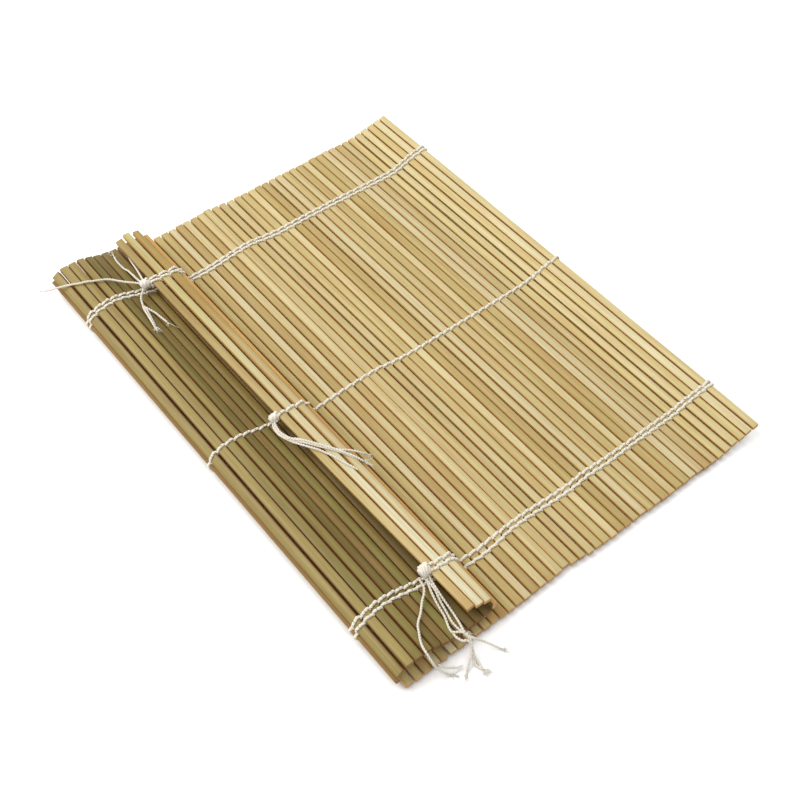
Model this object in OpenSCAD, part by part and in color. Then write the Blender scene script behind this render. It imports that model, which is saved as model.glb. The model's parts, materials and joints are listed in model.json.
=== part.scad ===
// Bamboo sushi rolling mat, folded over at one side as it is stored.
// X runs across the slats, Y along them and Z up from the table.

/* [Slats] */
// Width of one bamboo slat
slat_w = 3.2; // [2.8:0.1:3.6]
// Thickness of one bamboo slat
slat_t = 2; // [1.6:0.1:2.3]
// Length of one bamboo slat
slat_l = 240; // [220:5:300]
// Gap between neighbouring slats, where the twine crosses
slat_gap = 0.68; // [0.6:0.02:0.9]
// Chamfer along the long edges of a slat
slat_chamfer = 0.2; // [0.1:0.05:0.4]
// How far the cut ends of the slats stand out of line
end_stagger = 0.6; // [0:0.1:1.2]
// How far the folded slats have slipped towards the far side
fold_slip = 1.5; // [0:0.1:2]

/* [Twine] */
// Thickness of one strand of twine
strand_d = 0.8; // [0.6:0.05:0.9]
// Far slat ends to the middle of the far pair of rows
far_inset = 30.8; // [15:0.1:50]
// Near slat ends to the middle of the near pair of rows
near_inset = 25.9; // [15:0.1:50]
// Distance between the two rows of a pair
pair_pitch = 2.6; // [2.4:0.1:4]
// Offset of the single row from the middle of the flat slats
middle_row_y = -4.2; // [-20:0.1:20]

/* [Knots] */
// How far the knots sit from the line of their rows, towards the far side
knot_slip = 1.5; // [0.5:0.1:1.8]
// Diameter of a knot
knot_d = 4; // [3:0.1:4.2]
// Turns of twine round a knot
knot_turns = 4; // [3:1:5]

/* [Sections] */
// Sections that roll up, two slats in each
roll_sections = 14; // [10:1:14]
// Slats that stay flat under the fold
flat_slats = 18; // [16:1:24]
// Slope at which the free edge lifts off the table
edge_lift = 12; // [0:1:16]

/* [Fold] */
// Slope of the first slat of the fold, from the flat part
fold_rise = 72; // [66:1:76]
// Slope of the second slat of the fold
fold_over = 145; // [142:1:150]
// Slope of the slats along the top of the hump
hump_top = 178.5; // [176:0.5:180]
// Slope of the slat that starts down the hump
hump_down = 192; // [190:1:194]
// Slope of the first slat that is turned back
curl_rise = 95; // [90:1:100]
// Slope of the second slat that is turned back
curl_over = 9; // [6:1:14]
// Slope of the last slat, which carries the knots
knot_slat_slope = -8; // [-10:1:-4]
// Clearance between two layers of twine
layer_clear = 0.2; // [0.1:0.05:0.5]

/* [Hidden] */
roll_count = round(roll_sections);
flat_count = round(flat_slats);
SECTION_COUNT = roll_count + 13;
function two_digits(n) = n < 10 ? str("0", n) : str(n);

// Colours of the pale inner side and of the cotton twine
BAMBOO = [0.85, 0.76, 0.52];
COTTON = [0.93, 0.90, 0.80];

pitch = slat_w + slat_gap;
half_t = slat_t / 2;
pair_half = pair_pitch / 2;
base_y = -fold_slip / 2;
far_pair_y = base_y + slat_l / 2 - far_inset;
near_pair_y = base_y - slat_l / 2 + near_inset;
middle_y = base_y + middle_row_y;
ROWS = [far_pair_y + pair_half, far_pair_y - pair_half, middle_y,
        near_pair_y + pair_half, near_pair_y - pair_half];

// Gap left in the twine on each side of a line on which the mat bends
bend_clear = 0.05;
// How far a strand reaches past the middle of the slat in a gap
foot_reach = 0.3;
// How far a strand laps past the middle of a gap inside a section
foot_lap = 0.1;
// Run of the slope by which a strand climbs over a slat
strand_run = strand_d;

// The landing slats come down the hump until the twine of both layers clears.
lie_slope = 183;
settle_slope = 189;
landing_h = 2 * strand_d + layer_clear;
hump_rise = pitch * (sin(fold_rise) + sin(fold_over) + 2 * sin(hump_top) + sin(hump_down)
                     + sin(settle_slope) + 2 * sin(lie_slope));
first_slope = asin((hump_rise - landing_h) / (2 * pitch));
land_slope = 180 + asin((hump_rise - landing_h - slat_t * (1 - cos(first_slope))) / (2 * pitch));

// Each folded section: how many slats it has, and how it slopes
FOLDED = [[1, fold_rise], [1, fold_over], [2, hump_top], [1, hump_down], [2, land_slope],
          [1, settle_slope], [2, lie_slope], [2, 180],
          [1, curl_rise], [1, curl_over], [1, 0], [1, knot_slat_slope]];

function along(slope) = [-cos(slope), sin(slope)];
function pale(slope) = [sin(slope), cos(slope)];

rolled_slats = 2 * roll_count;
base_z = strand_d + half_t;

// Places are worked out from the free edge, and centred at the end.
// The fold bends on the pale face, and the slats turned back bend on the skin face.
function section_start(k) =
    k == 0 ? [-rolled_slats * pitch, base_z]
    : let (before = section_start(k - 1),
           slope_before = k == 1 ? 0 : FOLDED[k - 2][1],
           slats_before = k == 1 ? flat_count : FOLDED[k - 2][0],
           slope = FOLDED[k - 1][1],
           face = slope > slope_before ? 1 : -1)
      before + slats_before * pitch * along(slope_before)
      + face * half_t * (pale(slope_before) - pale(slope));

function section_slats(s) =
    s <= roll_count ? 2 : s == roll_count + 1 ? flat_count : FOLDED[s - roll_count - 2][0];
function section_slope(s) =
    s > roll_count + 1 ? FOLDED[s - roll_count - 2][1] : s < 3 ? -edge_lift : s == 3 ? -edge_lift / 2 : 0;
function slats_before(s) = s == 1 ? 0 : slats_before(s - 1) + section_slats(s - 1);
function section_place(s) =
    s > roll_count ? section_start(s - roll_count - 1)
    : let (slope = section_slope(s), next_slope = section_slope(s + 1))
      section_place(s + 1) + half_t * (pale(next_slope) - pale(slope))
      - section_slats(s) * pitch * along(slope);

// Leftmost twine of the first two folded slats, for the middle of the mat
function outer_corners(s) =
    let (slope = section_slope(s), place = section_place(s), skin = -(half_t + strand_d) * pale(slope))
    [for (d = [strand_run + bend_clear, pitch - strand_run - bend_clear])
        (place + d * along(slope) + skin)[0]];
turn_thick = slat_gap / 2 - bend_clear;
left_reach = min(concat(outer_corners(roll_count + 2), outer_corners(roll_count + 3)));
right_reach = section_place(1)[0] - (slat_gap / 2 - turn_thick) * cos(edge_lift)
              + half_t * sin(edge_lift);
centre_x = (left_reach + right_reach) / 2;

// Uneven slat ends, the same on each build. The folded slats have their own run of the pattern.
fold_pattern_from = 46;
END_WAVE = [[0, 0], [3, 0.4], [6, -0.4], [9, 0.3], [13, -0.5], [16, 0], [20, -0.6], [23, -0.3],
            [25, 0.9], [26, 2.2], [27, 1], [30, 0.6], [32, 0], [35, 0.3], [45, 0],
            [47, -0.4], [50, 0.4], [54, -0.2], [57, 0.3], [61, 0]];
function stagger(i) = end_stagger * (lookup(i, END_WAVE) + 0.2 * sin(i * 137.5));
folded_from = rolled_slats + flat_count;
function end_shift(i) =
    base_y + (i < folded_from ? stagger(i) : fold_slip + stagger(i - folded_from + fold_pattern_from));

// Moves a section from its own frame, in which it lies flat, to its place.
module in_section(s) {
    place = section_place(s);
    translate([place[0] - centre_x, 0, place[1]]) rotate([0, section_slope(s), 0]) children();
}

module slat(i, x) {
    w = slat_w / 2;
    c = slat_chamfer;
    outline = [[-w + c, -half_t], [w - c, -half_t], [w, -half_t + c], [w, half_t - c],
               [w - c, half_t], [-w + c, half_t], [-w, half_t - c], [-w, -half_t + c]];
    translate([x, end_shift(i) + slat_l / 2, 0]) rotate([90, 0, 0])
        linear_extrude(slat_l) polygon(outline);
}

// One strand over a slat, or under it where side is -1, with its feet in the gaps
module stitch(side, left_clear, right_clear) {
    left = -pitch / 2 + left_clear;
    right = pitch / 2 - right_clear;
    w = slat_w / 2;
    polygon([[left, -side * foot_reach], [left, side * half_t],
             [left + strand_run, side * (half_t + strand_d)],
             [right - strand_run, side * (half_t + strand_d)],
             [right, side * half_t], [right, -side * foot_reach],
             [w, -side * foot_reach], [w, side * half_t],
             [-w, side * half_t], [-w, -side * foot_reach]]);
}

// One of the two strands of a row, over every other slat and under those between
module strand(s, odd) {
    count = section_slats(s);
    rotate([90, 0, 0]) linear_extrude(strand_d)
        for (j = [0:count - 1])
            translate([-(j + 0.5) * pitch, 0])
                stitch((slats_before(s) + j) % 2 == odd ? 1 : -1,
                       j == count - 1 ? bend_clear : -foot_lap,
                       j == 0 ? bend_clear : -foot_lap);
}

// The turn of twine round the outer side of an end slat
module end_turn(x) {
    translate([x, 0, 0]) cube([turn_thick, 2 * strand_d, slat_t], center = true);
}

// The rows have slipped with the folded slats, and run back to their line on those turned back.
ROW_SLIP = [0.3, 0.7, 1, 1, 1, 1, 1, 1, 0.7, 0.3, 0, 0.4];
function row_slip(s) = s > roll_count + 1 ? fold_slip * ROW_SLIP[s - roll_count - 2] : 0;

module twine_rows(s) {
    count = section_slats(s);
    for (y = ROWS) translate([0, y + row_slip(s), 0]) {
        strand(s, 0);
        translate([0, strand_d, 0]) strand(s, 1);
        if (s == 1) end_turn(-slat_gap / 2 + turn_thick / 2);
        if (s == SECTION_COUNT) end_turn(-count * pitch + slat_gap / 2 - turn_thick / 2);
    }
}

module slats(s) {
    color(BAMBOO) in_section(s)
        for (j = [0:section_slats(s) - 1]) slat(slats_before(s) + j, -(j + 0.5) * pitch);
}

module twine(s) {
    color(COTTON) in_section(s) twine_rows(s);
}

// A knot: turns of twine side by side round a core, against the end turns
turn_d = knot_d / 3.4;
turn_count = round(knot_turns);
knot_l = turn_count * turn_d;
knot_lift = 0.3;
knot_start = -pitch + slat_gap / 2 - turn_thick;
TURN_POINTS = 6;
knot_outline = [for (k = [0:turn_count - 1], i = [0:TURN_POINTS])
    let (a = 15 + 150 * i / TURN_POINTS)
    [(knot_d - turn_d) / 2 + turn_d / 2 * sin(a), (k + 0.5 - 0.5 * cos(a)) * turn_d]];

module knot(y) {
    color(COTTON) in_section(SECTION_COUNT)
        translate([knot_start, y + knot_slip, knot_lift]) rotate([0, -90, 0])
            rotate_extrude($fn = 48)
                polygon(concat([[0, 0], [knot_outline[0][0], 0]], knot_outline,
                               [[knot_outline[0][0], knot_l], [0, knot_l]]));
}

// Routes of the loose ends of twine, from inside their knots outwards
FAR_LEFT_TAIL = [[-62.5, 91, 11.2], [-64.5, 93, 11.4], [-66.5, 95, 11.4], [-68, 97, 11.2],
    [-69.5, 99, 11], [-71, 101, 11], [-73, 102.5, 11.2], [-75.5, 103.5, 11.6],
    [-78, 104.5, 11.8], [-80.5, 106, 11.8], [-83, 107, 11.6], [-85.5, 108.5, 11.4],
    [-87.5, 110, 10.8], [-90, 111.5, 10.2], [-92, 113, 9.4], [-94, 114.5, 8.4],
    [-96, 116.5, 7.4]];
FAR_INNER_TAIL = [[-62.5, 89, 11], [-64.5, 87, 10.6], [-66.5, 85, 10.2], [-67.5, 82.5, 9.6],
    [-68.5, 79.5, 9.4], [-69, 76.5, 9.6], [-69.5, 73.5, 9.8], [-70, 70.5, 10], [-70.5, 67.5, 10]];
FAR_SHORT_TAIL = [[-61.5, 91.5, 11], [-62, 94, 10.4], [-62, 97, 9.8], [-62, 100.5, 9.2],
    [-62, 103.5, 8.6], [-62.5, 106.5, 8], [-62.5, 109.5, 7.6], [-62.5, 112.5, 7.6],
    [-62, 115.5, 7.6]];
MIDDLE_TAIL = [[-61.5, -5, 11.2], [-62, -7.5, 10.6], [-62.5, -10.5, 10.6], [-62, -13, 11.2],
    [-61.5, -15.5, 12.2], [-60, -17.5, 13.2], [-58.5, -19.5, 13.6], [-57, -22, 13.6],
    [-55.5, -24, 13.6], [-54, -26.5, 13.6], [-53, -29, 13.8], [-51.5, -31, 13.8],
    [-49.5, -33, 13.6], [-47.5, -34.5, 13.4], [-45.5, -36, 12.8], [-43.5, -37.5, 11.6],
    [-41.5, -38.5, 10]];
NEAR_LEFT_TAIL = [[-60.5, -94.5, 11], [-61, -97.5, 10.4], [-62.5, -99.5, 9.6],
    [-64.5, -101, 9.2], [-66.5, -103, 9.2], [-68.5, -105, 9.6], [-70.5, -106.5, 10.2],
    [-72.5, -108.5, 10.8], [-74, -111, 11.2], [-75.5, -113.5, 11.4], [-76.5, -116, 11.6],
    [-77, -118.5, 11.8], [-77, -121, 10.3], [-76.5, -122.5, 7.8], [-75.5, -123.5, 5.2],
    [-74, -124.5, 2.6], [-72, -126, 0.6]];
NEAR_RIGHT_TAIL = [[-59, -95, 11.2], [-58.5, -97.5, 10.8], [-58.5, -100.5, 10.2],
    [-59, -103, 9.4], [-59.5, -105.5, 8.6], [-60, -108.5, 8], [-60.5, -111, 7.6],
    [-61, -113.5, 7.6], [-61, -116.5, 7.6], [-60.5, -119.5, 7.6], [-60, -122, 6.6],
    [-61, -124, 4.8], [-62.5, -125.5, 3], [-64.5, -127, 1.6], [-66.5, -128.5, 0.6]];

// Round tube through a list of points, each ring square to its route
TAIL_SIDES = 8;
tail_d = 0.9;
function unit(v) = v / norm(v);
function heading(route, i) =
    unit(route[min(i + 1, len(route) - 1)] - route[max(i - 1, 0)]);
function side_of(t) = unit(cross(t, abs(t[2]) > 0.95 ? [1, 0, 0] : [0, 0, 1]));
function ring(route, i) =
    let (t = heading(route, i), a = side_of(t), b = cross(a, t))
    [for (k = [0:TAIL_SIDES - 1])
        route[i] + tail_d / 2 * (a * cos(k * 360 / TAIL_SIDES) + b * sin(k * 360 / TAIL_SIDES))];

module tail(route) {
    rings = len(route);
    n = TAIL_SIDES;
    points = [for (i = [0:rings - 1]) each ring(route, i)];
    walls = [for (i = [0:rings - 2], k = [0:n - 1])
             each [[i * n + k, (i + 1) * n + (k + 1) % n, i * n + (k + 1) % n],
                   [i * n + k, (i + 1) * n + k, (i + 1) * n + (k + 1) % n]]];
    first_cap = [for (k = [1:n - 2]) [0, k, k + 1]];
    last = (rings - 1) * n;
    last_cap = [for (k = [1:n - 2]) [last, last + k + 1, last + k]];
    polyhedron(points, concat(walls, first_cap, last_cap));
}

module tails(routes) {
    color(COTTON) for (route = routes) tail(route);
}

knot(far_pair_y);  // knot_far
knot(middle_y);  // knot_middle
knot(near_pair_y);  // knot_near
tails([FAR_LEFT_TAIL, FAR_INNER_TAIL, FAR_SHORT_TAIL]);  // tails_far
tails([MIDDLE_TAIL]);  // tails_middle
tails([NEAR_LEFT_TAIL, NEAR_RIGHT_TAIL]);  // tails_near
for (s = [1:SECTION_COUNT]) {
    slats(s);
    twine(s);
}
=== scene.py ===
import bpy
import json
import math
import numpy as np
from mathutils import Matrix, Vector, noise

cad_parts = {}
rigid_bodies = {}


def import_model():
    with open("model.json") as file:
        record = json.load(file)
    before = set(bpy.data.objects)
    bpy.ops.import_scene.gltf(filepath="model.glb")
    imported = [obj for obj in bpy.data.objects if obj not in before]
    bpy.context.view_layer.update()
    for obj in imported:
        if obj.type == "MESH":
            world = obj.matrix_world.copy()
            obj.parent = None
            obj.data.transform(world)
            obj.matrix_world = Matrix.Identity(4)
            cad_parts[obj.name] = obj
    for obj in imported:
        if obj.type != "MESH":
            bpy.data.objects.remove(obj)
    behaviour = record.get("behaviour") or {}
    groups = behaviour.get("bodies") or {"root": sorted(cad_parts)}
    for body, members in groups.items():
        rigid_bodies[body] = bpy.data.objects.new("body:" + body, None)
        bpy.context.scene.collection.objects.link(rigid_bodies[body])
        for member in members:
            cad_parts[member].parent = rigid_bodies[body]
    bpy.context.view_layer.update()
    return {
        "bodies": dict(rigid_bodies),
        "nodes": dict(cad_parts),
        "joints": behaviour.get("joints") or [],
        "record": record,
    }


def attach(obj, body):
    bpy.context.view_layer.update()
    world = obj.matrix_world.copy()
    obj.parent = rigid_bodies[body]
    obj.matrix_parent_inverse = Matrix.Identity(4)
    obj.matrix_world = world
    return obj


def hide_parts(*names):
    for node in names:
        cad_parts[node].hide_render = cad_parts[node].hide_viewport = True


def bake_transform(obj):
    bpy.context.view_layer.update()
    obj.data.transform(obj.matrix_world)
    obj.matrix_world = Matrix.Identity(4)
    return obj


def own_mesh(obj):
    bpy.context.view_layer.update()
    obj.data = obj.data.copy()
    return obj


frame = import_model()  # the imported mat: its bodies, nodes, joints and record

MM = 0.001

# Camera
# It stands above the near left corner of the mat and looks down across the slats,
# as the photograph does.
CAMERA_PLACE = (-0.20955, -0.27003, 0.40407)
CAMERA_RIGHT = (0.78327332, -0.62170593, 0.00182874)
CAMERA_UP = (0.48638947, 0.61462924, 0.6209931)
CAMERA_BACK = (-0.38717979, -0.48550246, 0.7838139)
camera_data = bpy.data.cameras.new("camera")
camera_data.lens = 57.16
camera_data.sensor_width = 36.0
camera_data.clip_start = 0.01
camera = bpy.data.objects.new("camera", camera_data)
bpy.context.scene.collection.objects.link(camera)
turn = Matrix((CAMERA_RIGHT, CAMERA_UP, CAMERA_BACK)).transposed().to_4x4()
camera.matrix_world = Matrix.Translation(CAMERA_PLACE) @ turn
bpy.context.scene.camera = camera

# Sections of the mat
# The mat bends between groups of slats. Where each group lies, how it slopes and which
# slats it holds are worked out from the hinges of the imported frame.
PITCH = 3.88 * MM
HALF_T = 1.0 * MM
SLAT_W = 3.2 * MM
SLAT_L = 240 * MM
FIRST_BEND = 72.0
ROOT = "section_15"
joint_to = {j["child"]: j for j in frame["joints"]}
bend_ratio = {c["joint"]: c["ratio"] for c in frame["record"]["behaviour"]["couplings"]}
vertices_of_a_pair = len(frame["nodes"]["slats_01"].data.vertices)


def travel(slope):
    """Direction from the free edge to the knots, along a section"""
    return Vector((-math.cos(slope), 0, math.sin(slope)))


def pale(slope):
    """Direction that the pale inner side of a section faces"""
    return Vector((math.sin(slope), 0, math.cos(slope)))


def slats_in(section):
    mesh = frame["nodes"]["slats_" + section[-2:]].data
    return round(2 * len(mesh.vertices) / vertices_of_a_pair)


names = sorted(frame["bodies"])
hinges = {name: Vector(joint_to[name]["pos_m"]) for name in names if name in joint_to}
sections = []
slope = 0.0
first = 0
for k, name in enumerate(names):
    if name > ROOT:
        bend = math.radians(FIRST_BEND * bend_ratio.get(joint_to[name]["name"], 1.0))
        slope += bend
        start = hinges[name] - math.copysign(HALF_T, bend) * pale(slope)
    elif name == ROOT:
        slope = 0.0
        start = hinges[names[k - 1]] - HALF_T * pale(0)
    else:
        # The free edge lifts off the table, so these sections slope a little
        behind, ahead = hinges[names[max(k, 1) - 1]], hinges[names[max(k, 1)]]
        slope = math.atan2(ahead.z - behind.z, behind.x - ahead.x)
        start = hinges[name] - HALF_T * pale(slope) - slats_in(name) * PITCH * travel(slope)
    sections.append({"name": name, "slope": slope, "start": start, "first": first, "count": slats_in(name)})
    first += slats_in(name)
slat_count = first
section_of = [s for s in sections for _ in range(s["count"])]


def in_section(s, d, y, h):
    """Point d along a section from its start, y along the slats and h off its middle, to its pale side"""
    return s["start"] + travel(s["slope"]) * d + pale(s["slope"]) * h + Vector((0, y, 0))


def slat_middle(i):
    s = section_of[i]
    return (i - s["first"] + 0.5) * PITCH


# Loose ends of twine
# Each is the end of a cotton cord of two plies twisted together, 0.9 mm thick, that leaves
# its knot and lies over the folded slats. It is cut with scissors and frays at the tip.
TAIL_D = 0.9 * MM
LAY = 2.3 * MM
PLY_SIDES = 8
PLY_OUT, PLY_R = 0.2, 0.37  # how far out a ply lies and its radius, as shares of the cord
FIBRE_TURN = 0.9  # how far the fibres turn round a ply, in radians per millimetre
FIBRE_R = 0.13 * MM
GROUND = 0.15 * MM  # the lowest that a loose fibre lies


def linear(red, green, blue):
    """A colour given as it looks on a screen, 0 to 255, as the shader takes it"""
    channels = [c / 255 for c in (red, green, blue)]
    return [c / 12.92 if c <= 0.04045 else ((c + 0.055) / 1.055) ** 2.4 for c in channels] + [1.0]


class Finish:
    """A material, with short ways to add its nodes"""

    def __init__(self, name):
        self.material = bpy.data.materials.new(name)
        self.material.use_nodes = True
        self.nodes = self.material.node_tree.nodes
        self.links = self.material.node_tree.links
        self.shader = self.nodes["Principled BSDF"]

    def add(self, kind, inputs=None, **settings):
        node = self.nodes.new("ShaderNode" + kind)
        for key, value in settings.items():
            setattr(node, key, value)
        for key, value in (inputs or {}).items():
            if isinstance(value, bpy.types.NodeSocket):
                self.links.new(value, node.inputs[key])
            else:
                node.inputs[key].default_value = value
        return node

    def attribute(self, name):
        return self.add("Attribute", attribute_name=name)

    def stretched(self, vector, scale):
        return self.add("Mapping", {"Vector": vector, "Scale": scale}).outputs["Vector"]

    def noise(self, vector, scale, detail=3.0, w=None, roughness=0.5):
        inputs = {"Vector": vector, "Scale": scale, "Detail": detail, "Roughness": roughness}
        if w is None:
            return self.add("TexNoise", inputs).outputs["Fac"]
        inputs["W"] = w
        return self.add("TexNoise", inputs, noise_dimensions="4D").outputs["Fac"]

    def ramp(self, value, low, high, low_out=0.0, high_out=1.0):
        inputs = {"Value": value, "From Min": low, "From Max": high, "To Min": low_out, "To Max": high_out}
        return self.add("MapRange", inputs).outputs["Result"]

    def mix(self, factor, first, second, blend="MIX"):
        node = self.add("Mix", data_type="RGBA", blend_type=blend)
        for socket, value in ((0, factor), (6, first), (7, second)):
            if isinstance(value, bpy.types.NodeSocket):
                self.links.new(value, node.inputs[socket])
            else:
                node.inputs[socket].default_value = value
        return node.outputs[2]

    def math(self, operation, first, second=0.5):
        return self.add("Math", {0: first, 1: second}, operation=operation).outputs[0]

    def bump(self, height, distance, strength=1.0, under=None):
        inputs = {"Height": height, "Distance": distance, "Strength": strength}
        if under is not None:
            inputs["Normal"] = under
        return self.add("Bump", inputs).outputs["Normal"]

    def to(self, socket, value):
        self.links.new(value, self.shader.inputs[socket])


cotton = Finish("cotton_twine")
fibre = cotton.attribute("fibre").outputs["Vector"]
strands = cotton.noise(cotton.stretched(fibre, (2.6, 2.6, 0.5)), 1.6, 4.0)
patches = cotton.noise(cotton.add("TexCoord").outputs["Object"], 160.0, 2.0)
cream = cotton.mix(cotton.ramp(patches, 0.35, 0.65), linear(247, 241, 226), linear(253, 250, 241))
thread = cotton.mix(cotton.ramp(strands, 0.35, 0.7), linear(241, 232, 212), cream)
cotton.to("Base Color", thread)
cotton.to("Normal", cotton.bump(strands, 0.0001, 0.6))
cotton.shader.inputs["Roughness"].default_value = 0.92
cotton.shader.inputs["Specular IOR Level"].default_value = 0.2
cotton.shader.inputs["Sheen Weight"].default_value = 0.25
cotton.shader.inputs["Sheen Roughness"].default_value = 0.5


def smooth_route(points, step, parts=12):
    """Evenly spaced points on a smooth curve through the given ones, and how far along each is.
    What a point holds after its x, y and z is carried along."""
    p = np.array([list(q) for q in points], float)
    p = np.vstack([2 * p[0] - p[1], p, 2 * p[-1] - p[-2]])
    t = np.linspace(0, 1, parts, endpoint=False)[:, None]
    fine = []
    for a, b, c, d in zip(p, p[1:], p[2:], p[3:]):
        fine.append(0.5 * (2 * b + (c - a) * t + (2 * a - 5 * b + 4 * c - d) * t ** 2
                           + (3 * b - a - 3 * c + d) * t ** 3))
    fine = np.vstack(fine + [p[-2:-1]])
    run = np.concatenate([[0], np.cumsum(np.linalg.norm(np.diff(fine[:, :3], axis=0), axis=1))])
    at = np.linspace(0, run[-1], max(3, int(round(run[-1] / step)) + 1))
    return np.stack([np.interp(at, run, column) for column in fine.T], axis=1), at


def square_frames(route):
    """Two directions square to the route at each of its points, turned as little as can be"""
    tangent = np.gradient(route, axis=0)
    tangent /= np.linalg.norm(tangent, axis=1)[:, None]
    side = np.cross(tangent[0], (0, 1, 0) if abs(tangent[0][1]) < 0.9 else (0, 0, 1))
    sides = []
    for t in tangent:
        side = side - (side @ t) * t
        side = side / np.linalg.norm(side)
        sides.append(side)
    sides = np.array(sides)
    return sides, np.cross(tangent, sides)


class CordMesh:
    """Tubes gathered for one mesh, with the coordinates that their fibres follow"""

    def __init__(self):
        self.points, self.faces, self.fibres, self.count = [], [], [], 0

    def tube(self, centres, sides, ups, radii, along, sides_count=PLY_SIDES, phase=0.0, seed=0.0):
        n, m = len(centres), sides_count
        angle = np.arange(m) * 2 * math.pi / m
        turned = angle[None, :] + np.broadcast_to(phase, (n,))[:, None]
        radii = np.broadcast_to(radii, (n,))[:, None, None]
        ring = centres[:, None, :] + radii * (np.cos(turned)[..., None] * sides[:, None, :]
                                              + np.sin(turned)[..., None] * ups[:, None, :])
        first = self.count
        self.points.append(ring.reshape(-1, 3))
        swirl = angle[None, :] + along[:, None] / MM * FIBRE_TURN
        self.fibres.append(np.stack([np.cos(swirl), np.sin(swirl),
                                     np.broadcast_to(along[:, None] / MM + seed, swirl.shape)],
                                    axis=-1).reshape(-1, 3))
        i, k = np.meshgrid(np.arange(n - 1), np.arange(m), indexing="ij")
        a, b = first + i * m + k, first + i * m + (k + 1) % m
        self.faces.extend(np.stack([a, b, b + m, a + m], axis=-1).reshape(-1, 4).tolist())
        self.faces.append(list(range(first + m - 1, first - 1, -1)))
        self.faces.append(list(range(first + (n - 1) * m, first + n * m)))
        self.count += n * m

    def twisted(self, route, along, diameter=TAIL_D, lay=LAY, out_by=PLY_OUT, ply=PLY_R, seed=0.0,
                frames=None):
        """Two plies twisted round each other along the route"""
        sides, ups = frames or square_frames(route)
        phase = 2 * math.pi * along / lay
        for turn in (0, math.pi):
            out = np.cos(phase + turn)[:, None] * sides + np.sin(phase + turn)[:, None] * ups
            self.tube(route + out_by * diameter * out, sides, ups, ply * diameter,
                      along, phase=phase, seed=seed + turn * 7)

    def frayed(self, route, count, length, spread, seed):
        """Loose fibres at the cut end of a cord"""
        end = route[-1]
        ahead = route[-1] - route[-3]
        ahead = ahead / np.linalg.norm(ahead)
        random = np.random.default_rng(seed)
        for _ in range(count):
            aside = random.normal(size=3) * spread
            aside[2] = abs(aside[2]) * 0.3
            reach = length * random.uniform(0.45, 1.0)
            start = end - ahead * reach * 0.4
            bow = random.normal(size=3) * spread * 0.5
            steps = [start, end + bow * reach * 0.3, end + (ahead + aside) * reach * 0.6,
                     end + (ahead + aside * 1.3 + bow) * reach]
            line, along = smooth_route(steps, reach / 5)
            line[:, 2] = np.maximum(line[:, 2], GROUND)
            sides, ups = square_frames(line)
            thin = np.linspace(1.0, 0.5, len(line)) * FIBRE_R
            self.tube(line, sides, ups, thin, along, sides_count=3, seed=random.uniform(0, 50))

    def piece(self, name):
        mesh = bpy.data.meshes.new(name)
        points = np.vstack(self.points)
        mesh.from_pydata(points.tolist(), [], self.faces)
        fibres = mesh.attributes.new("fibre", "FLOAT_VECTOR", "POINT")
        fibres.data.foreach_set("vector", np.vstack(self.fibres).astype(np.float32).ravel())
        mesh.polygons.foreach_set("use_smooth", [True] * len(mesh.polygons))
        mesh.materials.append(cotton.material)
        mesh.update()
        made = bpy.data.objects.new(name, mesh)
        bpy.context.scene.collection.objects.link(made)
        return made


FAR_LEFT = [[-62.5, 91, 11.2], [-64.5, 93, 11.4], [-66.5, 95, 11.4], [-68, 97, 11.2],
    [-69.5, 99, 11], [-71, 101, 11], [-73, 102.5, 11.2], [-75.5, 103.5, 11.6],
    [-78, 104.5, 11.8], [-80.5, 106, 11.8], [-83, 107, 11.6], [-85.5, 108.5, 11.4],
    [-87.5, 110, 10.8], [-90, 111.5, 10.2], [-92, 113, 9.4], [-94, 114.5, 8.4],
    [-96, 116.5, 7.4]]
FAR_DOWN = [[-62.5, 89, 11], [-64.5, 87, 10.6], [-66.5, 85, 10.2], [-67.5, 82.5, 9.6],
    [-68.5, 79.5, 9.4], [-69, 76.5, 9.6], [-69.5, 73.5, 9.8], [-70, 70.5, 10], [-70.5, 67.5, 10]]
FAR_DOWN_INNER = [[-67.8, 80.4, 9.6], [-68, 77.2, 9.2], [-68.8, 73.2, 9.2], [-69.8, 68.4, 9.2]]
FAR_BRANCH = [[-67.8, 80.4, 9.6], [-66.8, 77.8, 9.2], [-65.8, 75.2, 8.8], [-65.2, 72, 8.6],
    [-64.6, 67.8, 8.6]]
FAR_SECOND = [[-61, 92, 11.4], [-60.6, 94, 11.4], [-59.2, 100.4, 10], [-58.2, 106.4, 8.8],
    [-57.2, 111, 8]]
FAR_SHORT = [[-61.5, 91.5, 11], [-62, 94, 10.4], [-62, 97, 9.8], [-62, 100.5, 9.2],
    [-62, 103.5, 8.6], [-62.5, 106.5, 8], [-62.5, 109.5, 7.6], [-62.5, 112.5, 7.6],
    [-62, 115.5, 7.6]]
MIDDLE = [[-61.5, -5, 11.2], [-62, -7.5, 10.6], [-62.5, -10.5, 10.6], [-62, -13, 11.2],
    [-61.5, -15.5, 12.2], [-60, -17.5, 13.2], [-58.5, -19.5, 13.6], [-57, -22, 13.6],
    [-55.5, -24, 13.6], [-54, -26.5, 13.6], [-53, -29, 13.8], [-51.5, -31, 13.8],
    [-49.5, -33, 13.6], [-47.5, -34.5, 13.4], [-45.5, -36, 12.8], [-43.5, -37.5, 11.6],
    [-41.5, -38.5, 10]]
MIDDLE_THICK = [[-58.8, -3.2, 11.2], [-60.4, -4.4, 10.8], [-61.6, -6.8, 10.6],
    [-61.8, -11.2, 11], [-60.8, -17, 12.4], [-58.2, -21.4, 13.4], [-54.6, -27, 13.6],
    [-50.8, -32.6, 13.6], [-48.2, -37, 13.2], [-46.6, -39, 12.2], [-44.8, -40.4, 10.8]]
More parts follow.
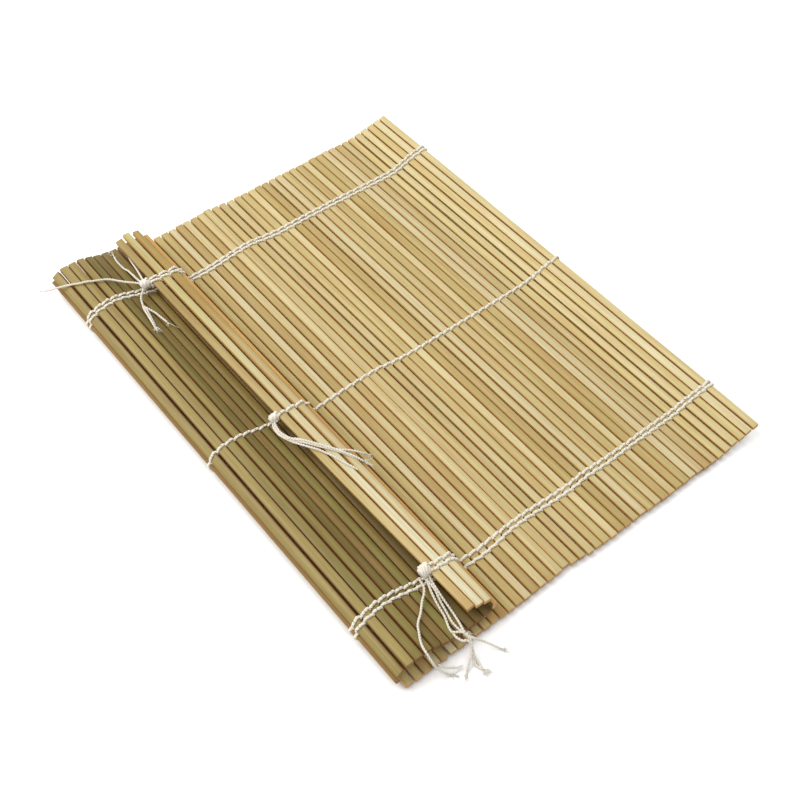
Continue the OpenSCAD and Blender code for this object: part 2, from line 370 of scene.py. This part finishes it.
MIDDLE_LOW = [[-59.4, -2.8, 11], [-60.8, -4.2, 10.6], [-62.2, -6.6, 10.4], [-62.4, -11, 10.6],
    [-61, -17.4, 12], [-58, -24.2, 13.4], [-55.6, -28.6, 13.6], [-53.4, -33.6, 13.6],
    [-51.8, -39, 13.6], [-50.6, -41.8, 13.4], [-49.2, -44.2, 12.4]]
MIDDLE_TOP = [[-58.8, -3.8, 11.8], [-60.6, -5.2, 11.6], [-61.4, -7.2, 11.6],
    [-61.8, -11.4, 11.8], [-60.6, -17.2, 13.2], [-57.8, -21, 14], [-54.8, -25.8, 14.2],
    [-51.2, -31.4, 14.2], [-48.4, -36.4, 13.8], [-46.6, -39, 13], [-44.8, -41.8, 11.6]]
NEAR_LEFT = [[-60.5, -94.5, 11], [-61, -97.5, 10.4], [-62.5, -99.5, 9.6],
    [-64.5, -101, 9.2], [-66.5, -103, 9.2], [-68.5, -105, 9.6], [-70.5, -106.5, 10.2],
    [-72.5, -108.5, 10.8], [-74, -111, 11.2], [-75.5, -113.5, 11.4], [-76.5, -116, 11.6],
    [-77, -118.5, 11.8], [-77, -121, 10.3], [-76.5, -122.5, 7.8], [-75.5, -123.5, 5.2],
    [-74, -124.5, 2.6], [-72, -126, 0.6]]
NEAR_LEFT_TIP = [[-74.8, -122.4, 6], [-73.2, -123.6, 4.2], [-71.6, -124.4, 3],
    [-69.8, -125.2, 2]]
NEAR_RIGHT = [[-59, -95, 11.2], [-58.5, -97.5, 10.8], [-58.5, -100.5, 10.2],
    [-59, -103, 9.4], [-59.5, -105.5, 8.6], [-60, -108.5, 8], [-60.5, -111, 7.6],
    [-61, -113.5, 7.6], [-61, -116.5, 7.6], [-60.5, -119.5, 7.6], [-60, -122, 6.6],
    [-61, -124, 4.8], [-62.5, -125.5, 3], [-64.5, -127, 1.6], [-66.5, -128.5, 0.6]]
NEAR_OUTER = [[-57, -95.4, 11.4], [-57.6, -97.8, 11.2], [-58, -101.4, 10.4],
    [-58.2, -106, 8.8], [-58.6, -111, 8], [-59.4, -115.6, 8], [-60.2, -118.8, 8],
    [-59.6, -121.6, 7.2], [-58.4, -122.8, 6.4], [-55, -125.4, 3.2], [-51.8, -129.2, 0.8]]
NEAR_INNER = [[-57.8, -95.4, 11.2], [-59.4, -98.6, 10.6], [-60.6, -102.8, 9.6],
    [-61.2, -106.6, 8.4], [-61.6, -109.6, 7.8], [-62.4, -112, 7.6], [-63.4, -114.8, 7.6],
    [-63.6, -117.2, 7.6], [-63.6, -119.2, 7.6], [-62.6, -121.2, 7.2], [-61.2, -121.8, 6.8],
    [-60.6, -123.2, 5.4], [-61, -125.2, 3], [-61.4, -126.4, 2], [-61.4, -128.6, 0.4],
    [-62, -131.4, 0.4]]
NEAR_LINK = [[-63.8, -116.4, 8], [-62.6, -117.4, 8], [-61.4, -118.2, 8], [-60.4, -119.4, 8]]
NEAR_TIP = [[-61.6, -125.8, 2.6], [-62.4, -127, 1.4], [-62.6, -129.4, 0.6],
    [-61.6, -131.6, 0.6]]
FRAY, FRAY_SPREAD = 3.2 * MM, 0.24
ROUTE_STEP = 0.3 * MM
KNOT_BODY, KNOT_JOINT = "section_27", "fold_bend_27"
# A place beside the last slat, at the height of its middle, and a higher one for the loose
# ends of the middle row, which lie across the slats.
STRIP_EDGE = np.array([-60, 0, 11.2]) * MM
OVER_SLATS = STRIP_EDGE + np.array([0, 0, 2.1]) * MM


def tail_route(points):
    """Smooth route through the points that keeps the whole strand above the ground"""
    route, along = smooth_route(np.array(points) * MM, ROUTE_STEP)
    route[:, 2] = np.maximum(route[:, 2], (PLY_OUT + PLY_R) * TAIL_D)
    return route, along


def loose_end(name, points, seed, fibres=16, flat_at=STRIP_EDGE):
    """One strand along its route and the loose fibres at its tip, on the body of the knots"""
    route, along = tail_route(points)
    cord, tip = CordMesh(), CordMesh()
    cord.twisted(route, along, seed=seed)
    tip.frayed(route, fibres, FRAY, FRAY_SPREAD, seed)
    made = [cord.piece(name), tip.piece(name + "_fray")]
    for piece in made:
        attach(piece, KNOT_BODY)
        tuple(flat_at)
        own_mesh(piece)
    return made


def strands(rows, flat_at=STRIP_EDGE):
    """The strands that go with a cord, each from its name, route, seed and number of fibres"""
    made = []
    for name, points, seed, fibres in rows:
        made += loose_end(name, points, seed, fibres, flat_at)
    return made


def free_cord(points, others):
    """Work out the smooth route of a strand; the strands beside it are not used"""
    route, along = tail_route(points)


far_left = loose_end("tail_far_left", FAR_LEFT, 1)
free_cord(FAR_LEFT, strands([
    ("tail_far_down", FAR_DOWN, 2, 24), ("tail_far_down_inner", FAR_DOWN_INNER, 3, 16),
    ("tail_far_branch", FAR_BRANCH, 4, 8), ("tail_far_second", FAR_SECOND, 5, 16),
    ("tail_far_short", FAR_SHORT, 6, 16)]))
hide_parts("tails_far")
middle_tail = loose_end("tail_middle", MIDDLE, 7, flat_at=OVER_SLATS)
free_cord(MIDDLE, strands([
    ("tail_middle_thick", MIDDLE_THICK, 8, 24), ("tail_middle_low", MIDDLE_LOW, 9, 16),
    ("tail_middle_top", MIDDLE_TOP, 10, 16)], OVER_SLATS))
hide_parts("tails_middle")
near_left = loose_end("tail_near_left", NEAR_LEFT, 11)
near_right = loose_end("tail_near_right", NEAR_RIGHT, 12)
near_others = strands([
    ("tail_near_outer", NEAR_OUTER, 13, 16), ("tail_near_inner", NEAR_INNER, 14, 16),
    ("tail_near_link", NEAR_LINK, 15, 4), ("tail_near_tip", NEAR_TIP, 16, 16)])
free_cord(NEAR_LEFT, strands([("tail_near_left_tip", NEAR_LEFT_TIP, 17, 16)]))
free_cord(NEAR_RIGHT, near_others)
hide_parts("tails_near")

# Slats
# Strips split from a bamboo culm, 240 mm long, 3.2 mm wide and 2 mm thick. The inner side is
# pale, the outer side keeps the olive skin, and the twine rows hold them side by side.
EDGE = 0.25 * MM
CUTS = 40
END_STAGGER = 0.6 * MM
FOLD_SLIP = 1.5 * MM
FOLD_FROM, FOLD_TO = 46, 58  # the folded slats that show their skin side
GOLDEN_ANGLE = 137.5
END_WAVE = [(0, 0), (3, 0.4), (6, -0.4), (9, 0.3), (13, -0.5), (16, 0), (20, -0.6), (23, -0.3), (25, 0.9),
            (26, 2.2), (27, 1), (30, 0.6), (32, 0), (35, 0.3), (45, 0), (47, -0.4), (50, 0.4), (54, -0.2),
            (57, 0.3), (61, 0)]


def bamboo(name, light, dark, streak, edge_colour, edge_amount, roughness, spot, tint="tint"):
    """Bamboo with long bands, fibres and flecks along the slat, darker toward its edges"""
    finish = Finish(name)
    grain = finish.attribute("grain").outputs["Vector"]
    seed = finish.attribute("seed").outputs["Fac"]
    tone = finish.attribute("tone").outputs["Fac"]
    across = finish.add("SeparateXYZ", {0: grain}).outputs[0]
    bands = finish.noise(finish.stretched(grain, (1.1, 0.02, 1.1)), 1.0, 3.0, seed)
    fibres = finish.noise(finish.stretched(grain, (7.0, 0.12, 7.0)), 1.0, 4.0, seed, 0.6)
    flecks = finish.noise(finish.stretched(grain, (4.5, 0.35, 4.5)), 1.0, 2.0, seed)
    clouds = finish.noise(finish.stretched(grain, (0.25, 0.03, 0.25)), 1.0, 2.0, seed)
    shade = finish.math("ADD", finish.math("MULTIPLY", finish.ramp(bands, 0.3, 0.7), 0.5), tone)
    base = finish.mix(finish.ramp(shade, 0.15, 1.1), dark, light)
    base = finish.mix(finish.ramp(fibres, 0.52, 0.72, 0.0, 0.5), base, streak)
    base = finish.mix(finish.ramp(flecks, 0.66, 0.74, 0.0, 0.55), base, spot)
    base = finish.mix(finish.ramp(clouds, 0.45, 0.75, 0.0, 0.35), base, edge_colour)
    edge = finish.ramp(finish.math("ABSOLUTE", across), 1.15, 1.6, 0.0, edge_amount)
    wander = finish.noise(finish.stretched(grain, (1.0, 0.08, 1.0)), 1.0, 2.0, seed)
    edge = finish.math("MULTIPLY", edge, finish.ramp(wander, 0.3, 0.6, 0.4, 1.0))
    base = finish.mix(edge, base, edge_colour)
    base = finish.mix(1.0, base, finish.attribute(tint).outputs["Color"], "MULTIPLY")
    finish.to("Base Color", base)
    height = finish.math("ADD", fibres, finish.math("MULTIPLY", bands, 0.6))
    finish.to("Normal", finish.bump(height, 0.00012, 0.5))
    finish.to("Roughness", finish.ramp(fibres, 0.3, 0.7, roughness - 0.08, roughness + 0.1))
    finish.shader.inputs["Specular IOR Level"].default_value = 0.35
    return finish.material


inner_side = bamboo("bamboo_inner", linear(226, 211, 157), linear(186, 164, 106), linear(180, 148, 88),
                    linear(196, 144, 76), 0.65, 0.55, linear(146, 112, 60))
skin_side = bamboo("bamboo_skin", linear(176, 164, 104), linear(130, 118, 64), linear(116, 98, 50),
                   linear(118, 84, 42), 0.6, 0.4, linear(96, 80, 38))
split_side = bamboo("bamboo_split", linear(216, 176, 104), linear(172, 124, 64), linear(136, 90, 42),
                    linear(146, 100, 50), 0.0, 0.65, linear(110, 70, 34), "side_tint")
end_grain = bamboo("bamboo_end", linear(208, 168, 114), linear(172, 128, 80), linear(130, 88, 48),
                   linear(140, 98, 56), 0.0, 0.75, linear(84, 54, 28), "side_tint")

bpy.ops.object.select_all(action="DESELECT")
bpy.ops.mesh.primitive_cube_add(size=1)
model_slat = bpy.context.object
model_slat.scale = (SLAT_W, SLAT_L, 2 * HALF_T)
bpy.ops.object.transform_apply(location=False, rotation=False, scale=True)
bpy.ops.object.mode_set(mode="EDIT")
bpy.ops.mesh.select_all(action="DESELECT")
bpy.ops.object.mode_set(mode="OBJECT")
for edge in model_slat.data.edges:
    a, b = (model_slat.data.vertices[v].co for v in edge.vertices)
    edge.select = abs(a.y - b.y) > SLAT_L / 2
bpy.ops.object.mode_set(mode="EDIT")
bpy.ops.mesh.select_mode(type="EDGE")
bpy.ops.mesh.bevel(offset=EDGE, segments=2)
for cut in range(1, CUTS):
    bpy.ops.mesh.select_all(action="SELECT")
    bpy.ops.mesh.bisect(plane_co=(0, (cut / CUTS - 0.5) * SLAT_L, 0), plane_no=(0, 1, 0))
bpy.ops.mesh.select_all(action="DESELECT")
bpy.ops.object.mode_set(mode="OBJECT")
slat_mesh = model_slat.data
bpy.data.objects.remove(model_slat)
slat_points = np.array([v.co for v in slat_mesh.vertices])
slat_faces = [list(p.vertices) for p in slat_mesh.polygons]
slat_normals = np.array([p.normal for p in slat_mesh.polygons])
INNER, SKIN, SPLIT, END = range(4)
slat_sides = np.select([np.abs(slat_normals[:, 1]) > 0.5, slat_normals[:, 2] > 0.6,
                        slat_normals[:, 2] < -0.6], [END, INNER, SKIN], SPLIT)


def end_shift(i):
    """How far a slat stands out of line at its far end"""
    wave = np.interp(i, *zip(*END_WAVE)) + 0.2 * math.sin(math.radians(i * GOLDEN_ANGLE))
    return -FOLD_SLIP / 2 + END_STAGGER * wave + (FOLD_SLIP if i >= FOLD_FROM else 0)


# Slats that are cut a little short at the near or the far end, in millimetres
NEAR_TRIM = [(45, 0), (46, 1.5), (52, 1), (58, 1), (59, 2.6), (60, 3.2), (61, 4)]
FAR_TRIM = [(57, 0), (58, 4.5), (59, 2.2), (60, 1), (61, 2.4)]
# The three last slats lie askew, by these shares of the askew line, in millimetres along y
ASKEW = [(-120, 1), (-42, 0), (0, -0.4), (45, -0.6), (120, -0.68)]
ASKEW_SHARE = {59: 0.65, 60: 1.25, 61: 1.8}
# Slats that are wider or narrower than most, at their edge toward the knots and at the other
WIDTHS = {45: (-0.15, 0), 46: (-0.3, 0.15), 47: (-0.3, 0.2), 48: (-0.13, 0.3), 59: (0, -0.45), 61: (0.15, 0)}


def askew(i, y):
    """How far a slat is moved toward the knots at the place y along it"""
    return -ASKEW_SHARE.get(i, 0.0) * np.interp(y / MM, *zip(*ASKEW)) * MM


# The tint of each slat, drawn from the few kinds of bamboo in the mat: the pale kinds for the
# slats that lie open, the green and brown ones for those that show their skin. The skin tints
# also hold painted shade. They get darker from the fold toward the strip, where the flap turns
# away from the lamp and lies under the strip. The three last slats are paler at the near end.
random = np.random.default_rng(62)
tones = np.clip(random.normal(0.45, 0.14, slat_count), 0.1, 0.95)
PALE_MEAN, SKIN_MEAN, SIDE_MEAN = (224, 205, 150), (156, 144, 88), (204, 174, 108)
LIFTED_MEAN, LIFTED_TO = (208, 188, 134), 6
PALE_KINDS = [(225, 212, 168), (217, 200, 148), (210, 191, 133), (204, 183, 122), (198, 174, 116)]
# Green, olive-brown and tan skin, each its own hue but made darker than the skin's mean: painted shade
SKIN_KINDS_IN_SHADE = [(131, 121, 62), (136, 116, 60), (142, 119, 67), (126, 110, 56)]
# The skin by the fold is lighter, half shaded at the near end of the next two slats and darkest under the
# strip: painted shade
LIGHT_SKIN, HALF_SHADED_SKIN, SHADED_SKIN = (162, 144, 84), (139, 125, 66), (114, 96, 52)
# The split sides of the first folded slats are olive like their skin; those of the others are darkened:
# painted shade in the flap's gaps
LIGHT_SIDE, SHADED_SIDE = (150, 126, 72), (140, 104, 54)
ORANGE = (204, 168, 106)
STRIP_NEAR = [(222, 208, 164), (228, 218, 180), (222, 201, 146)]
STRIP_FAR = [(180, 152, 88), (200, 186, 128), (182, 160, 102)]
BESIDE_STRIP, LIGHT_TO = (34, 35), 10
# Where the painted shade on the skin slats starts, deepens and is darkest
LIGHT_SKIN_TO, HALF_SHADED_SKIN_TO, SHADED_SKIN_FROM = 49, 51, 55
FOLD_WIDER = (-0.13, 0.13)
# How much the slats' widths differ, where they lie flat and in the fold, and how uneven a
# slat's sides and top are, in millimetres
WIDTH_VARIES, FOLD_WIDTH_VARIES = 0.11, 0.05
UNEVEN_SIDE, UNEVEN_TOP = 0.1, 0.08
TINT_RUN = 140 * MM  # the length over which the near tint turns into the far one
SMOOTH_TO = math.radians(35)


def ratio(kind, mean):
    """What a colour is multiplied by to turn the mean one into the given kind"""
    return np.array([a / b for a, b in zip(linear(*kind)[:3], linear(*mean)[:3])])


def give_attribute(mesh, name, values):
    """One number or vector for each point of a mesh, which the materials read by its name"""
    kind, field = ("FLOAT", "value") if values.ndim == 1 else ("FLOAT_VECTOR", "vector")
    given = mesh.attributes.new(name, kind, "POINT")
    given.data.foreach_set(field, values.astype(np.float32).ravel())


near_tints, far_tints, side_tints = [], [], []
for i in range(slat_count):
    # The slats by the free edge are lighter than the others
    shares = (0.45, 0.35, 0.2, 0, 0) if i < LIGHT_TO else (0.2, 0.25, 0.25, 0.18, 0.12)
    pale_kind = PALE_KINDS[random.choice(5, p=shares)]
    skin_near, skin_far = (SKIN_KINDS_IN_SHADE[k] for k in random.choice(4, 2))
    near, far, side = pale_kind, pale_kind, SIDE_MEAN
    mean = LIFTED_MEAN if i < LIFTED_TO else PALE_MEAN
    if i in BESIDE_STRIP:
        near = far = ORANGE
    elif FOLD_FROM <= i <= FOLD_TO:
        # The skin slats' split sides get the painted shade of the gaps between them
        near, far, mean, side = skin_near, skin_far, SKIN_MEAN, SHADED_SIDE
        if i < LIGHT_SKIN_TO:
            near = far = LIGHT_SKIN
            side = LIGHT_SIDE
        elif i < HALF_SHADED_SKIN_TO:
            near, far = HALF_SHADED_SKIN, LIGHT_SKIN
        # The last slats of the flap, under the strip, take the darkest painted shade
        elif i >= SHADED_SKIN_FROM:
            near = far = SHADED_SKIN
        if i == FOLD_TO:
            side = SIDE_MEAN
    elif i > FOLD_TO:
        near, far = STRIP_NEAR[i - FOLD_TO - 1], STRIP_FAR[i - FOLD_TO - 1]
    near_tints.append(ratio(near, mean))
    far_tints.append(ratio(far, mean))
    side_tints.append(ratio(side, SIDE_MEAN))

for s in sections:
    points, faces, sides, grain, seeds, tone, tint, side_tint = [], [], [], [], [], [], [], []
    for j in range(s["count"]):
        i = s["first"] + j
        local = slat_points.copy()
        places, row = np.unique(local[:, 1], return_inverse=True)
        wave = np.array([[noise.noise(Vector((y * 30, i * 3.7, side * 5.1))) for side in (-1, 1)]
                         for y in places])
        usual = FOLD_WIDER if FOLD_FROM <= i <= FOLD_TO else (0, 0)
        varies = WIDTH_VARIES if i < FOLD_FROM else FOLD_WIDTH_VARIES
        edges = random.normal(0, varies, 2) + WIDTHS.get(i, usual)
        left, right = (UNEVEN_SIDE * wave[row, k] + edges[k] for k in (0, 1))
        local[:, 0] += np.where(local[:, 0] < 0, left, right) * MM
        top = np.array([noise.noise(Vector((y * 22, i * 2.3, 9.4))) for y in places])
        local[:, 2] += np.where(local[:, 2] > 0, top[row], 0) * UNEVEN_TOP * MM
        trims = np.interp(i, *zip(*NEAR_TRIM)) * MM, np.interp(i, *zip(*FAR_TRIM)) * MM
        local[:, 1] *= 1 - np.where(local[:, 1] < 0, *trims) / (SLAT_L / 2)
        first = len(points) * len(slat_points)
        middle = (j + 0.5) * PITCH
        across, up = travel(s["slope"]), pale(s["slope"])
        along_section = middle - local[:, :1] + askew(i, local[:, 1:2])
        world = (np.array(s["start"])[None, :] + along_section * np.array(across)[None, :]
                 + local[:, 2:] * np.array(up)[None, :])
        world[:, 1] += local[:, 1] + end_shift(i)
        points.append(world)
        faces += [[first + v for v in f] for f in slat_faces]
        sides += slat_sides.tolist()
        grain.append(local / MM)
        seeds.append(np.full(len(local), i * 7.13))
        tone.append(np.full(len(local), tones[i]))
        toward_far = np.clip(local[:, 1:2] / TINT_RUN + 0.5, 0, 1)
        tint.append(near_tints[i] + (far_tints[i] - near_tints[i]) * toward_far)
        side_tint.append(np.tile(side_tints[i], (len(local), 1)))
    number = s["name"][-2:]
    mesh = bpy.data.meshes.new("bamboo_" + number)
    mesh.from_pydata(np.vstack(points).tolist(), [], faces)
    for material in (inner_side, skin_side, split_side, end_grain):
        mesh.materials.append(material)
    mesh.polygons.foreach_set("material_index", sides)
    for kind, values in (("grain", grain), ("tint", tint), ("side_tint", side_tint), ("seed", seeds),
                         ("tone", tone)):
        give_attribute(mesh, kind, np.concatenate(values))
    mesh.update()
    slats = bpy.data.objects.new("bamboo_" + number, mesh)
    bpy.context.scene.collection.objects.link(slats)
    bpy.ops.object.select_all(action="DESELECT")
    slats.select_set(True)
    bpy.context.view_layer.objects.active = slats
    bpy.ops.object.shade_smooth_by_angle(angle=SMOOTH_TO)
    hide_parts("slats_" + number)
    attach(slats, s["name"])

# Woven twine
# Five rows of cotton twine run across the slats. Each is two cords that pass over and under
# the slats by turns and cross in every gap, so that the row holds every slat like a rope.
ROWS = [("far", 0.5, 1), ("far", -0.5, -1), ("middle", 0, 1), ("near", 0.5, 1), ("near", -0.5, -1)]
COURSE = {
    "far": [(0, 88.65), (2, 88.85), (4, 87.95), (5, 87.3), (7, 87.35), (10, 87.65), (14, 88.05), (18, 88.15),
            (22, 87.95), (24, 88.75), (25, 89.6), (26, 89.8), (28, 89.3), (30, 88.35), (32, 87.65),
            (34, 87.75), (45, 88), (46, 88.5), (47.5, 89.45), (50, 90.75), (51.5, 91), (53, 90.6), (55, 89.3),
            (57, 88.8), (58, 88.3), (59, 87.9), (60, 87.75), (61, 88.2), (61.9, 88.9)],
    "middle": [(0, -4.05), (2, -3.85), (4, -4.45), (6, -4.55), (10, -4.65), (20, -4.65), (22, -4.55),
               (24, -3.9), (25.5, -3), (27, -2.9), (29, -3.1), (31, -3.4), (34, -4.05), (45, -4.5),
               (46, -3.6), (47.3, -2.6), (48.5, -1.9), (50, -1.6), (52, -1.5), (54, -1.6), (55, -1.9),
               (57, -2.6), (58, -3.5), (59, -4.4), (60, -4.4), (61.5, -4)],
    "near": [(0, -94.6), (2, -94.3), (4, -94.05), (5, -94.45), (10, -94.45), (12, -94.65), (15, -94.75),
             (18, -94.35), (20, -95.05), (22, -94.9), (25, -94.4), (26, -94.25), (28, -94.4), (30, -95.25),
             (32, -95.85), (34, -95.55), (45, -95), (46, -94.6), (47.5, -94.3), (50, -93.3), (52, -93.1),
             (53, -93.3), (55, -94.15), (57, -94.5), (59, -94.75), (60, -94.65), (61, -94.4), (61.9, -94)]}
APART = {
    "far": [(0, 2.1), (22, 2.1), (26, 1.9), (30, 1.9), (34, 2.1), (46, 2.1), (49, 2.2), (54, 2.4), (58, 3.2),
            (59.5, 2)],
    "middle": [(0, 0)],
    "near": [(1, 1.7), (4, 2), (8, 2.2), (12, 1.9), (15, 2.4), (22, 2.4), (28, 2.3), (30, 3), (32, 3.2),
             (34, 3.4), (46, 2.6), (52, 2.5), (55, 2.6), (58, 3), (59.5, 2.3)]}
HALF_CROSS = 0.32 * MM
WEAVE_D = 1.26 * MM
PRESSED = 0.72
STEP = 0.33 * MM
STITCH = [(-1.89, 0.62), (-1.59, 1.2), (-1.04, 1.42), (0, 1.41), (1.04, 1.42), (1.59, 1.2), (1.89, 0.62)]
SAG = 0.93


def row_at(pair, side, slat):
    """Where a row runs, at a place counted in slats from the free edge"""
    return (np.interp(slat, *zip(*COURSE[pair])) + side * np.interp(slat, *zip(*APART[pair]))) * MM


def woven_strand(pair, side, lean, odd):
    """The cord's middle line over all slats, and the number of the slat at each of its points"""
    points, marks = [], []
    for i in range(slat_count):
        s, middle = section_of[i], slat_middle(i)
        over = 1 if i % 2 == odd else -1
        for d, h in STITCH:
            share = d * MM / PITCH
            y = row_at(pair, side, i + 0.5 + share) - over * lean * HALF_CROSS * 2 * share
            height = (h if over > 0 else -h * SAG) * MM
            points.append(in_section(s, middle + d * MM + askew(i, y), y, height))
            marks.append(i + share)
        if i + 1 < slat_count:
            t = section_of[i + 1]
            y = row_at(pair, side, i + 1) - over * lean * HALF_CROSS
            here = in_section(s, middle + PITCH / 2 + askew(i, y), y, 0)
            there = in_section(t, slat_middle(i + 1) - PITCH / 2 + askew(i + 1, y), y, 0)
            points.append((here + there) / 2)
            marks.append(i + 0.5)
    return points, marks


def marked_route(points, marks):
    """The smooth route of a woven cord, with the slat numbers carried along it"""
    marked = [list(p) + [m * MM] for p, m in zip(points, marks)]
    route, along = smooth_route(marked, STEP, parts=10)
    return route[:, :3], route[:, 3] / MM, along


KNOTS = {"far": 89.95, "middle": -3.45, "near": -93.35}
last = sections[-1]
KNOT_START, KNOT_LENGTH, KNOT_LIFT = 3.83 * MM, 4.7 * MM, 0.3 * MM
# Half of the loop round the first slat, at the free edge: how far past the edge, how high, and
# the slat number that it counts as
EDGE_LOOP = [(-0.22, 0.55, -0.55), (-0.36, 0, -0.6)]
LOOP_LEAN = 0.25
# The way from the last slat into the knot: how far along, how much nearer to the knot, how high
# the two cords of the row are and how far apart
INTO_KNOT = [(3.95, 0.25, 0, 0.55), (4.5, 0.65, 0.2, 0.5), (5.6, 0.85, 0.3, 0.3)]
cord_lines = []
for pair, side, lean in ROWS:
    for odd in (0, 1):
        points, marks = woven_strand(pair, side, lean, odd)
        over = 1 if odd == 0 else -1
        edge_y = row_at(pair, side, 0)
        for d, h, mark in EDGE_LOOP:
            y = edge_y + over * lean * LOOP_LEAN * h * MM
            points.insert(0, in_section(sections[0], d * MM, y, over * h * MM))
            marks.insert(0, mark)
        over = 1 if (slat_count - 1) % 2 == odd else -1
        row_y, knot_y = row_at(pair, side, slat_count), KNOTS[pair] * MM
        for d, nearer, rise, apart in INTO_KNOT:
            y = row_y + (knot_y - row_y) * nearer
            height = (rise + over * apart) * MM
            points.append(in_section(last, d * MM + askew(slat_count - 1, y), y, height))
            marks.append(slat_count - 1 + d * MM / PITCH - 0.5)
        cord_lines.append(marked_route(points, marks))


def pressed_frames(route):
    """Along the slat and out of it, at each point of a cord that is pressed flat on the slats"""
    tangent = np.gradient(route, axis=0)
    tangent /= np.linalg.norm(tangent, axis=1)[:, None]
    across = np.array((0.0, 1.0, 0.0)) - tangent[:, 1:2] * tangent
    across /= np.linalg.norm(across, axis=1)[:, None]
    return across, PRESSED * np.cross(tangent, across)


def woven_piece(name, low, high):
    """The part of all woven cords between two slat numbers, as one mesh"""
    cord = CordMesh()
    for number, (route, marks, along) in enumerate(cord_lines):
        inside = (marks >= low) & (marks <= high)
        chosen = np.flatnonzero(inside)
        begin, end = max(chosen[0] - 1, 0), min(chosen[-1] + 2, len(route))
        frames = tuple(f[begin:end] for f in strand_frames[number])
        cord.twisted(route[begin:end], along[begin:end], WEAVE_D, out_by=0.125, ply=0.385,
                     seed=number * 31.0, frames=frames)
    return cord.piece(name)


strand_frames = [pressed_frames(route) for route, _, _ in cord_lines]
for k, s in enumerate(sections):
    number = s["name"][-2:]
    low = -1.0 if k == 0 else s["first"]
    high = slat_count + 2 if s is last else s["first"] + s["count"] - 1
    if high > low:
        twine = woven_piece("twine_on_" + number, low, high)
        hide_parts("twine_" + number)
        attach(twine, s["name"])
    if s is last:
        break
    after = sections[k + 1]
    crossing = woven_piece("twine_bend_" + number, s["first"] + s["count"] - 1, after["first"])
    if after["count"] == 1 and after is not last:
        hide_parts("twine_" + after["name"][-2:])
    here = in_section(s, s["count"] * PITCH, 0, 0)
    middle = (here + after["start"]) / 2
    ahead = (travel(s["slope"]) + travel(after["slope"])).normalized() * 0.3 * MM
    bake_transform(crossing)

# Knots
# Where the rows end, one cord is wound four times round the others beside the last slat
# and pulled tight.
TURNS, TURN_STEPS = 4, 12
TURN_D = 1.3 * MM
KNOT_NEARER = {"far": 0.0, "middle": 1.2 * MM, "near": 1.8 * MM}
KNOT_RADIUS = {"far": 2.1 * MM, "middle": 1.8 * MM, "near": 2.5 * MM}
NEARER_LIFT = 0.4  # a knot drawn nearer to the slat also rides up, by this share
for place, knot_y in KNOTS.items():
    knot_start = KNOT_START + askew(slat_count - 1, knot_y * MM) - KNOT_NEARER[place]
    lift = KNOT_LIFT + NEARER_LIFT * KNOT_NEARER[place]
    radius = KNOT_RADIUS[place] - TURN_D / 2
    turns = []
    for step in range(TURNS * TURN_STEPS + 1):
        angle = 2 * math.pi * step / TURN_STEPS
        d = knot_start + TURN_D / 2 + (KNOT_LENGTH - TURN_D) * step / (TURNS * TURN_STEPS)
        y = knot_y * MM + radius * math.sin(angle)
        turns.append(in_section(last, d, y, lift + radius * math.cos(angle)))
    route, along = smooth_route(turns, ROUTE_STEP)
    knot = CordMesh()
    knot.twisted(route, along, TURN_D, lay=4.0 * MM, out_by=0.12, ply=0.4, seed=knot_y)
    # A plain core fills the turns, so that no gap shows between them
    core = [in_section(last, knot_start + share * KNOT_LENGTH, knot_y * MM, lift)
            for share in (0.05, 0.4, 0.7, 0.95)]
    route, along = smooth_route(core, 0.4 * MM)
    sides, ups = square_frames(route)
    knot.tube(route, sides, ups, KNOT_RADIUS[place] - 0.8 * MM, along, sides_count=12)
    made = knot.piece("knot_" + place + "_turns")
    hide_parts("knot_" + place)
    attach(made, last["name"])

# Floor
# A plain white table top that runs out of the picture on all sides.
bpy.ops.object.select_all(action="DESELECT")
bpy.ops.mesh.primitive_plane_add(size=6, location=(0, 0, 0))
floor = bpy.context.object
floor.name = "floor"
table = Finish("table_top")
table.shader.inputs["Base Color"].default_value = (0.9, 0.9, 0.9, 1)
table.shader.inputs["Roughness"].default_value = 0.9
rays = table.add("LightPath")
seen = table.math("MAXIMUM", rays.outputs["Is Camera Ray"], rays.outputs["Is Glossy Ray"])
# The floor glows only in the open, so that it stays dark in the gaps between the slats
open_air = table.math("POWER", table.add("AmbientOcclusion", {"Distance": 0.004}).outputs["AO"], 2.0)
strength = table.math("MULTIPLY", table.math("MULTIPLY", seen, 0.35), open_air)
glow = table.add("Emission", {"Color": (1, 1, 1, 1), "Strength": strength})
both = table.add("AddShader", {0: table.shader.outputs[0], 1: glow.outputs[0]})
table.links.new(both.outputs[0], table.nodes["Material Output"].inputs["Surface"])
floor.data.materials.append(table.material)

# Light
# Soft daylight all round, and a large soft lamp from the far left.
world = bpy.data.worlds.new("studio")
bpy.context.scene.world = world
world.use_nodes = True
background = world.node_tree.nodes["Background"]
background.inputs["Color"].default_value = (1, 1, 1, 1)
sky_ray = world.node_tree.nodes.new("ShaderNodeLightPath")
sky = world.node_tree.nodes.new("ShaderNodeMath")
sky.operation = "MULTIPLY_ADD"
world.node_tree.links.new(sky_ray.outputs["Is Camera Ray"], sky.inputs[0])
sky.inputs[1].default_value = 0.25
sky.inputs[2].default_value = 0.75
world.node_tree.links.new(sky.outputs[0], background.inputs["Strength"])
lamp_data = bpy.data.lights.new("soft_lamp", "AREA")
lamp_data.size = 0.9
lamp_data.energy = 9.0
lamp = bpy.data.objects.new("soft_lamp", lamp_data)
bpy.context.scene.collection.objects.link(lamp)
lamp.location = (-0.5, 0.6, 0.9)
lamp.rotation_euler = (Vector((0, 0, 0)) - lamp.location).to_track_quat("-Z", "Y").to_euler()
bpy.context.scene.view_settings.view_transform = "Standard"
